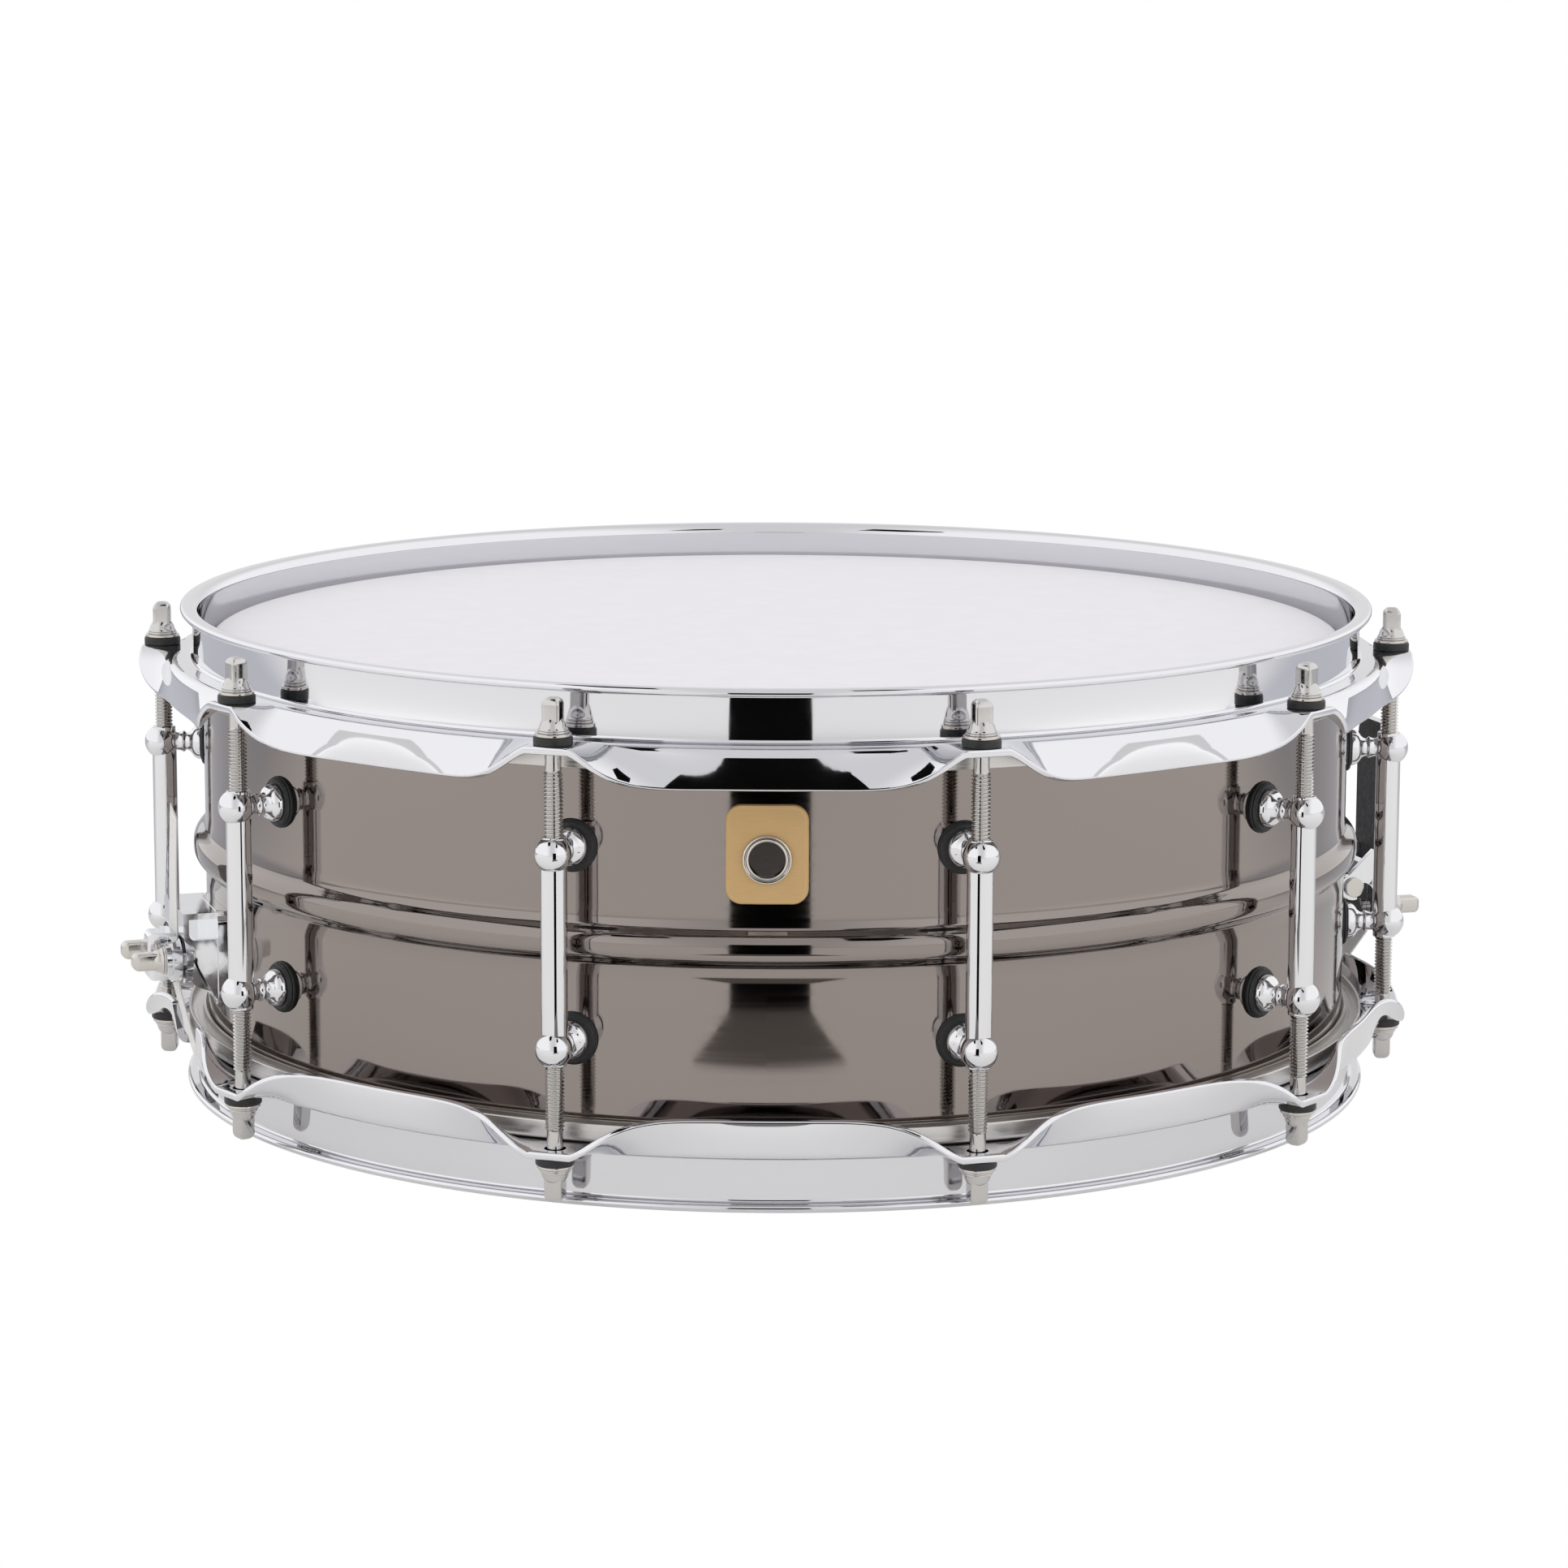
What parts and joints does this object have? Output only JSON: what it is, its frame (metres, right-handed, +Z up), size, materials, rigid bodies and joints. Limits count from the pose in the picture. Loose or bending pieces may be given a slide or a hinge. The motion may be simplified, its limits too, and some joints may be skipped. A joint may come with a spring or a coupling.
{
  "type": "snare drum",
  "caption": "Snare drum with a beaded metal shell, triple-flanged hoops, tube lugs, a coated batter head, coiled snares, a lever strainer and a fixed butt.",
  "frame": {"origin": "on the drum's axis, at the underside of the bottom hoop", "axes": "+Z up the drum's axis through the batter head; -Y out through the badge and vent; the strainer is at 108 degrees from the badge towards +X and the butt is opposite"},
  "size_m": [0.4053, 0.3832, 0.1476],
  "materials": {
    "shell": "black nickel plate over brass, mirror polished",
    "hoops": "mirror chrome over pressed steel",
    "batter_head": "white sprayed coating, fine grit",
    "snare_head": "thin hazy film",
    "flesh_hoops": "brushed",
    "steel_washers": "nickel plate",
    "nylon_washers": "moulded, matt black",
    "gaskets": "moulded, matt black",
    "screws": "zinc plate",
    "badge": "satin brass plate, no lettering",
    "vent_grommet": "polished nickel eyelet",
    "snare_wires": "bright coiled wire",
    "snare_end_plates": "pressed brass plate",
    "straps": "thin white polyester strap",
    "fittings": "mirror chrome over die casting",
    "key_screws": "nickel plate",
    "lugs": "mirror chrome over turned brass",
    "tension_rods": "nickel plate, cut thread"
  },
  "bodies": {
    "root": {"shell": "shell", "top_hoop": "hoops", "bottom_hoop": "hoops", "batter_head_film": "batter_head", "snare_head_film": "snare_head", "batter_flesh_hoop": "flesh_hoops", "snare_flesh_hoop": "flesh_hoops", "rod_steel_washers": "steel_washers", "rod_nylon_washers": "nylon_washers", "lug_gaskets": "gaskets", "lug_screw_washers": "screws", "lug_screws": "screws", "badge": "badge", "vent_grommet": "vent_grommet", "butt_strap": "straps", "butt_bracket": "fittings", "butt_clamp_plate": "fittings", "butt_clamp_screws": "key_screws", "strainer_base": "fittings", "mounting_screws": "screws", "tube_lug_01": "lugs", "tube_lug_02": "lugs", "tube_lug_03": "lugs", "tube_lug_04": "lugs", "tube_lug_05": "lugs", "tube_lug_06": "lugs", "tube_lug_07": "lugs", "tube_lug_08": "lugs", "tube_lug_09": "lugs", "tube_lug_10": "lugs"},
    "snares": {"snare_wires": "snare_wires", "snare_end_plates": "snare_end_plates"},
    "strainer_slide": {"strainer_slide": "fittings", "strainer_pivot_pin": "fittings"},
    "strainer_lever": {"strainer_lever": "fittings", "strainer_clamp_plate": "fittings", "strainer_clamp_screws": "key_screws", "strainer_strap": "straps"},
    "adjusting_knob": {"strainer_adjusting_knob": "fittings"},
    "top_tension_rod_01": {"top_tension_rod_01": "tension_rods"},
    "top_tension_rod_02": {"top_tension_rod_02": "tension_rods"},
    "top_tension_rod_03": {"top_tension_rod_03": "tension_rods"},
    "top_tension_rod_04": {"top_tension_rod_04": "tension_rods"},
    "top_tension_rod_05": {"top_tension_rod_05": "tension_rods"},
    "top_tension_rod_06": {"top_tension_rod_06": "tension_rods"},
    "top_tension_rod_07": {"top_tension_rod_07": "tension_rods"},
    "top_tension_rod_08": {"top_tension_rod_08": "tension_rods"},
    "top_tension_rod_09": {"top_tension_rod_09": "tension_rods"},
    "top_tension_rod_10": {"top_tension_rod_10": "tension_rods"},
    "bottom_tension_rod_01": {"bottom_tension_rod_01": "tension_rods"},
    "bottom_tension_rod_02": {"bottom_tension_rod_02": "tension_rods"},
    "bottom_tension_rod_03": {"bottom_tension_rod_03": "tension_rods"},
    "bottom_tension_rod_04": {"bottom_tension_rod_04": "tension_rods"},
    "bottom_tension_rod_05": {"bottom_tension_rod_05": "tension_rods"},
    "bottom_tension_rod_06": {"bottom_tension_rod_06": "tension_rods"},
    "bottom_tension_rod_07": {"bottom_tension_rod_07": "tension_rods"},
    "bottom_tension_rod_08": {"bottom_tension_rod_08": "tension_rods"},
    "bottom_tension_rod_09": {"bottom_tension_rod_09": "tension_rods"},
    "bottom_tension_rod_10": {"bottom_tension_rod_10": "tension_rods"}
  },
  "joints": [
    {"name": "snares_adjust", "type": "slide", "parent": "root", "child": "strainer_slide", "axis": [0, 0, 1], "range_m": [-0.002, 0.002]},
    {"name": "throw_off", "type": "hinge", "parent": "strainer_slide", "child": "strainer_lever", "pos_m": [0.18308, 0.05949, 0.0466], "axis": [-0.309, 0.9511, 0], "range_deg": [0, 50], "deforming": ["strainer_strap"]},
    {"name": "knob_turn", "type": "hinge", "parent": "root", "child": "adjusting_knob", "pos_m": [0.1769, 0.05748, 0.069], "axis": [0, 0, 1], "range_deg": [-900, 900]},
    {"name": "snares_drop", "type": "slide", "parent": "root", "child": "snares", "axis": [0, 0, -1], "range_m": [0, 0.001], "deforming": ["butt_strap"]},
    {"name": "top_tension_rod_01_turn", "type": "hinge", "parent": "root", "child": "top_tension_rod_01", "pos_m": [0.05871, -0.1807, 0.1338], "axis": [0, 0, 1], "continuous": true},
    {"name": "top_tension_rod_02_turn", "type": "hinge", "parent": "root", "child": "top_tension_rod_02", "pos_m": [0.15371, -0.11168, 0.1338], "axis": [0, 0, 1], "continuous": true},
    {"name": "top_tension_rod_03_turn", "type": "hinge", "parent": "root", "child": "top_tension_rod_03", "pos_m": [0.19, 0, 0.1338], "axis": [0, 0, 1], "continuous": true},
    {"name": "top_tension_rod_04_turn", "type": "hinge", "parent": "root", "child": "top_tension_rod_04", "pos_m": [0.15371, 0.11168, 0.1338], "axis": [0, 0, 1], "continuous": true},
    {"name": "top_tension_rod_05_turn", "type": "hinge", "parent": "root", "child": "top_tension_rod_05", "pos_m": [0.05871, 0.1807, 0.1338], "axis": [0, 0, 1], "continuous": true},
    {"name": "top_tension_rod_06_turn", "type": "hinge", "parent": "root", "child": "top_tension_rod_06", "pos_m": [-0.05871, 0.1807, 0.1338], "axis": [0, 0, 1], "continuous": true},
    {"name": "top_tension_rod_07_turn", "type": "hinge", "parent": "root", "child": "top_tension_rod_07", "pos_m": [-0.15371, 0.11168, 0.1338], "axis": [0, 0, 1], "continuous": true},
    {"name": "top_tension_rod_08_turn", "type": "hinge", "parent": "root", "child": "top_tension_rod_08", "pos_m": [-0.19, 0, 0.1338], "axis": [0, 0, 1], "continuous": true},
    {"name": "top_tension_rod_09_turn", "type": "hinge", "parent": "root", "child": "top_tension_rod_09", "pos_m": [-0.15371, -0.11168, 0.1338], "axis": [0, 0, 1], "continuous": true},
    {"name": "top_tension_rod_10_turn", "type": "hinge", "parent": "root", "child": "top_tension_rod_10", "pos_m": [-0.05871, -0.1807, 0.1338], "axis": [0, 0, 1], "continuous": true},
    {"name": "bottom_tension_rod_01_turn", "type": "hinge", "parent": "root", "child": "bottom_tension_rod_01", "pos_m": [0.05871, -0.1807, 0.0138], "axis": [0, 0, 1], "continuous": true},
    {"name": "bottom_tension_rod_02_turn", "type": "hinge", "parent": "root", "child": "bottom_tension_rod_02", "pos_m": [0.15371, -0.11168, 0.0138], "axis": [0, 0, 1], "continuous": true},
    {"name": "bottom_tension_rod_03_turn", "type": "hinge", "parent": "root", "child": "bottom_tension_rod_03", "pos_m": [0.19, 0, 0.0138], "axis": [0, 0, 1], "continuous": true},
    {"name": "bottom_tension_rod_04_turn", "type": "hinge", "parent": "root", "child": "bottom_tension_rod_04", "pos_m": [0.15371, 0.11168, 0.0138], "axis": [0, 0, 1], "continuous": true},
    {"name": "bottom_tension_rod_05_turn", "type": "hinge", "parent": "root", "child": "bottom_tension_rod_05", "pos_m": [0.05871, 0.1807, 0.0138], "axis": [0, 0, 1], "continuous": true},
    {"name": "bottom_tension_rod_06_turn", "type": "hinge", "parent": "root", "child": "bottom_tension_rod_06", "pos_m": [-0.05871, 0.1807, 0.0138], "axis": [0, 0, 1], "continuous": true},
    {"name": "bottom_tension_rod_07_turn", "type": "hinge", "parent": "root", "child": "bottom_tension_rod_07", "pos_m": [-0.15371, 0.11168, 0.0138], "axis": [0, 0, 1], "continuous": true},
    {"name": "bottom_tension_rod_08_turn", "type": "hinge", "parent": "root", "child": "bottom_tension_rod_08", "pos_m": [-0.19, 0, 0.0138], "axis": [0, 0, 1], "continuous": true},
    {"name": "bottom_tension_rod_09_turn", "type": "hinge", "parent": "root", "child": "bottom_tension_rod_09", "pos_m": [-0.15371, -0.11168, 0.0138], "axis": [0, 0, 1], "continuous": true},
    {"name": "bottom_tension_rod_10_turn", "type": "hinge", "parent": "root", "child": "bottom_tension_rod_10", "pos_m": [-0.05871, -0.1807, 0.0138], "axis": [0, 0, 1], "continuous": true}
  ],
  "couplings": [
    {"joint": "snares_adjust", "follows": "knob_turn", "m_per_rad": 0.00012731},
    {"joint": "snares_drop", "follows": "throw_off", "m_per_rad": 0.0011448}
  ]
}
